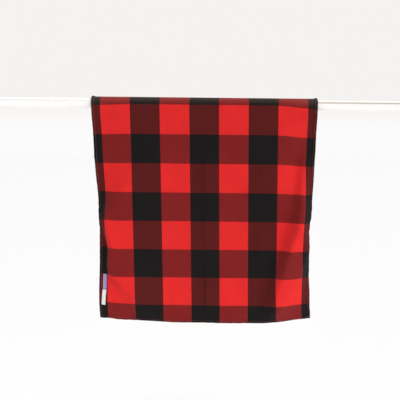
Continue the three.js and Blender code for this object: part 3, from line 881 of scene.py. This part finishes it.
def rod_piece():
    """The pole: a turned cylinder with a small bevel at each end, as rings of points and the
    middles of its two end faces."""
    radius = ROD_DIAMETER / 2
    profile = [(0.0, radius - ROD_END_BEVEL), (ROD_END_BEVEL, radius),
               (ROD_LENGTH - ROD_END_BEVEL, radius), (ROD_LENGTH, radius - ROD_END_BEVEL)]
    turns = np.arange(ROD_SIDES) * 2 * math.pi / ROD_SIDES
    rings = [np.stack([np.full(ROD_SIDES, x), -r * np.sin(turns), r * np.cos(turns)], 1)
             for x, r in profile]
    vertices = np.concatenate(rings + [np.array([(0.0, 0.0, 0.0), (ROD_LENGTH, 0.0, 0.0)])])
    index = np.arange(len(profile) * ROD_SIDES).reshape(len(profile), ROD_SIDES)
    ahead = np.roll(index, -1, axis=1)
    faces = []
    for here, after in zip(range(len(profile) - 1), range(1, len(profile))):
        faces += np.stack([index[here], ahead[here], ahead[after], index[after]], 1).tolist()
    left_middle, right_middle = index.size, index.size + 1
    faces += [(left_middle, b, a) for a, b in zip(index[0].tolist(), ahead[0].tolist())]
    faces += [(right_middle, a, b) for a, b in zip(index[-1].tolist(), ahead[-1].tolist())]
    obj = new_object("painted_rod", vertices, faces, painted_pole())
    sharp = obj.modifiers.new("edges", "EDGE_SPLIT")
    sharp.split_angle = math.radians(ROD_SHARP_ANGLE)
    return obj


# The pieces, all on the part's one body, and the solid that each stands for
blanket, outer_face = blanket_piece()
hem_rows = hem_stitches(outer_face)
blue_label = ribbon_piece("blue_ribbon_label", BLUE_RIBBON,
                          satin_ribbon("blue_woven_ribbon", *BLUE_RIBBON_COLOURS))
white_label = ribbon_piece("white_ribbon_label", WHITE_RIBBON,
                           satin_ribbon("white_satin_ribbon", *WHITE_RIBBON_COLOURS))
rod = rod_piece()

for piece, node in [(blanket, "blanket"), (blue_label, "label_blue"),
                    (white_label, "label_white"), (rod, "rod")]:
    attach(piece, "root")
    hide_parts(node)
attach(hem_rows, "root")

# Camera: at the photograph's place, 1.9 m in front of the blanket and a little below the rod
CAMERA_PLACE = (BLANKET_CENTRE_X - 11.7, -1909.0, -101.5)
CAMERA_PITCH = 6.8
CAMERA_ROLL = 0.62
camera_data = bpy.data.cameras.new("camera")
camera_data.lens = 50.0
camera_data.sensor_width = 36.0
camera = bpy.data.objects.new("camera", camera_data)
bpy.context.scene.collection.objects.link(camera)
tilted = Matrix.Rotation(math.radians(90.0 - CAMERA_PITCH), 4, "X")
rolled = Matrix.Rotation(math.radians(CAMERA_ROLL), 4, "Z")
camera.matrix_world = Matrix.Translation([c * MM for c in CAMERA_PLACE]) @ tilted @ rolled
bpy.context.scene.camera = camera

# Floor, and the pale sky behind it, which is a little lighter near the horizon. It shows at full
# strength and lights the blanket only dimly.
FLOOR_HEIGHT = -1600.0
FLOOR_SIZE = 80000.0
SKY_COLOUR = "#F5F2F0"
HAZE_COLOUR = "#FCFBFB"
HAZE_HEIGHT = 0.07
SKY_LIGHT = 0.10

# Distant lights: strength, how wide each looks, how far right of the front it stands and how high,
# in degrees. A broad soft one from above, and one from the right as from a window.
SUNS = {
    "ceiling_light": (2.72, 60.0, 15.0, 80.0),
    "right_light": (2.04, 35.0, 58.0, 12.0),
}
# Soft boxes that fill the low part of the blanket from the left, the right and below: place from
# the middle of the rod, width and height in metres, and watts
SOFT_BOXES = {
    "left_light": ((-1400.0, -800.0, -1000.0), (0.9, 1.4), 5.0),
    "low_right_light": ((1150.0, -450.0, -950.0), (0.5, 0.7), 2.8),
    "low_light": ((-100.0, -1300.0, -1300.0), (0.9, 0.9), 3.4),
}
LIGHTS_AIM = (BLANKET_CENTRE_X, 0.0, -400.0)

half = FLOOR_SIZE / 2
floor = new_object("floor", [(-half, -half, FLOOR_HEIGHT), (half, -half, FLOOR_HEIGHT),
                             (half, half, FLOOR_HEIGHT), (-half, half, FLOOR_HEIGHT)],
                   [(0, 1, 2, 3)], pale_floor(), smooth=False)


def soft_sun(name, strength, spread, azimuth, elevation):
    """A broad distant light. Azimuth turns from the front to the right, elevation is up."""
    data = bpy.data.lights.new(name, "SUN")
    data.energy = strength
    data.angle = math.radians(spread)
    round_z = math.radians(azimuth)
    up = math.radians(elevation)
    level = math.cos(up)
    away = Vector((math.sin(round_z) * level, -math.cos(round_z) * level, math.sin(up)))
    light = bpy.data.objects.new(name, data)
    bpy.context.scene.collection.objects.link(light)
    light.matrix_world = away.to_track_quat("Z", "Y").to_matrix().to_4x4()


def soft_box(name, place, size, watts):
    """A broad area light aimed at the middle of the blanket."""
    data = bpy.data.lights.new(name, "AREA")
    data.shape = "RECTANGLE"
    data.size, data.size_y = size
    data.energy = watts
    light = bpy.data.objects.new(name, data)
    bpy.context.scene.collection.objects.link(light)
    right, front, up = place
    start = Vector((BLANKET_CENTRE_X + right, front, up)) * MM
    turn = (start - Vector(LIGHTS_AIM) * MM).to_track_quat("Z", "Y").to_matrix().to_4x4()
    light.matrix_world = Matrix.Translation(start) @ turn


for name, values in SUNS.items():
    soft_sun(name, *values)
for name, values in SOFT_BOXES.items():
    soft_box(name, *values)


def studio_sky():
    """The pale sky: its colour by height as the camera sees it, and a dim even light."""
    world = bpy.data.worlds.new("studio")
    world.use_nodes = True
    tree = world.node_tree
    tree.nodes.clear()
    direction = add(tree, "ShaderNodeTexCoord")
    parts = add(tree, "ShaderNodeSeparateXYZ", None, {0: direction.outputs["Generated"]})
    above = add(tree, "ShaderNodeMapRange", {"interpolation_type": "SMOOTHSTEP"},
                {0: parts.outputs[2], 1: 0.0, 2: HAZE_HEIGHT, 3: 0.0, 4: 1.0})
    hazy = add(tree, "ShaderNodeMix", {"data_type": "RGBA"},
               {0: above, 6: linear(HAZE_COLOUR), 7: linear(SKY_COLOUR)})
    seen = add(tree, "ShaderNodeBackground", None, {"Color": hazy.outputs[2], "Strength": 1.0})
    lit = add(tree, "ShaderNodeBackground", None,
              {"Color": linear(SKY_COLOUR), "Strength": SKY_LIGHT})
    ray = add(tree, "ShaderNodeLightPath")
    sky = add(tree, "ShaderNodeMixShader", None,
              {0: ray.outputs["Is Camera Ray"], 1: lit, 2: seen})
    add(tree, "ShaderNodeOutputWorld", None, {"Surface": sky})
    return world


bpy.context.scene.world = studio_sky()
bpy.context.scene.view_settings.view_transform = "Standard"
